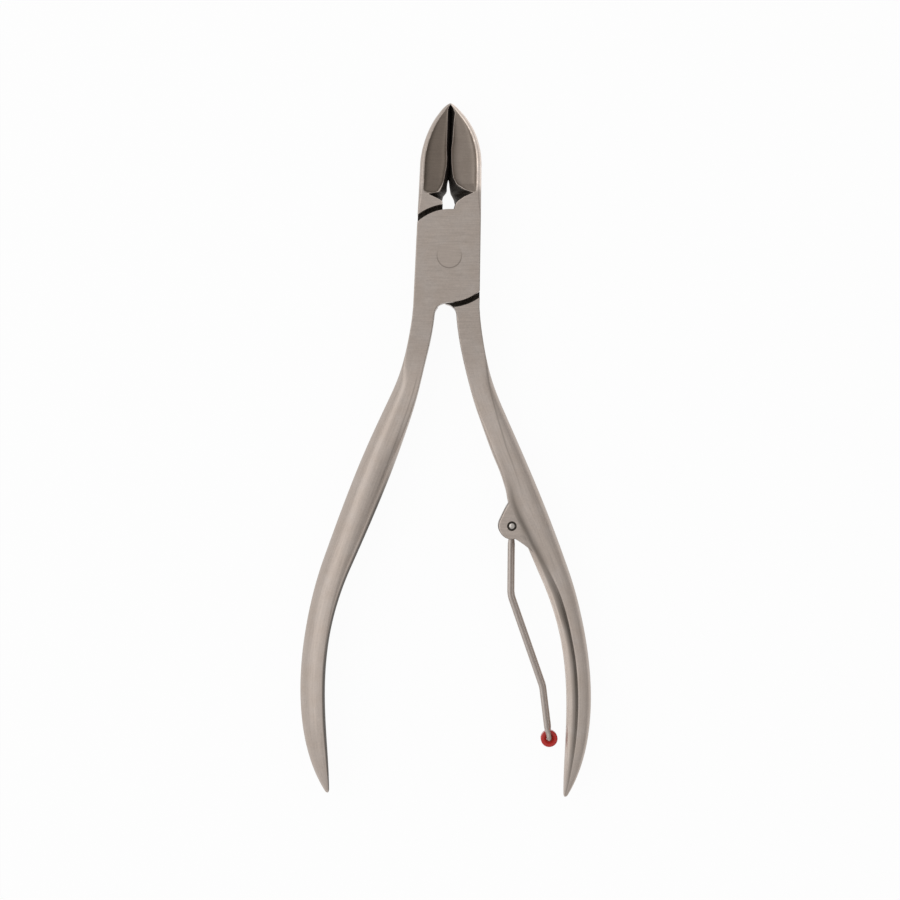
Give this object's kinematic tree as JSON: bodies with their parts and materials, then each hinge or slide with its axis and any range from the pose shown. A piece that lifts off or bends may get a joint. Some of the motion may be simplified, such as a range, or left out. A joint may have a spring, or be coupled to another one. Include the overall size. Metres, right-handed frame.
{
  "type": "nail nipper",
  "caption": "Pliers-type nail nipper with crossed levers on a lap joint, hollow-ground jaws, bowed handles and a swing-out wire spring with a roller.",
  "frame": {"origin": "the rivet's axis at the rear face, on which the nipper lies", "axes": "+Y from the rivet to the jaw tips, +X to the side of the handle with the spring, +Z out of the front face"},
  "size_m": [0.0503, 0.1201, 0.007],
  "materials": {
    "lever_steel": "satin brushed stainless steel",
    "rivet_steel": "ground stainless steel",
    "spring_wire": "drawn spring wire",
    "red_plastic": "moulded red plastic"
  },
  "bodies": {
    "front_lever": {"front_lever": "lever_steel", "joint_rivet": "rivet_steel"},
    "rear_lever": {"rear_lever": "lever_steel", "spring_pin": "rivet_steel"},
    "spring": {"spring_wire": "spring_wire"},
    "roller": {"roller": "red_plastic"}
  },
  "joints": [
    {"name": "jaw_pivot", "type": "hinge", "parent": "front_lever", "child": "rear_lever", "pos_m": [0, 0, 0.0035], "axis": [0, 0, 1], "range_deg": [0, 18]},
    {"name": "spring_swing", "type": "hinge", "parent": "rear_lever", "child": "spring", "pos_m": [0.01121, -0.04647, 0.0035], "axis": [0, 0, 1], "range_deg": [-63, 0]},
    {"name": "roller_spin", "type": "hinge", "parent": "spring", "child": "roller", "pos_m": [0.01806, -0.08325, 0.0035], "axis": [0, 0, 1], "continuous": true}
  ]
}
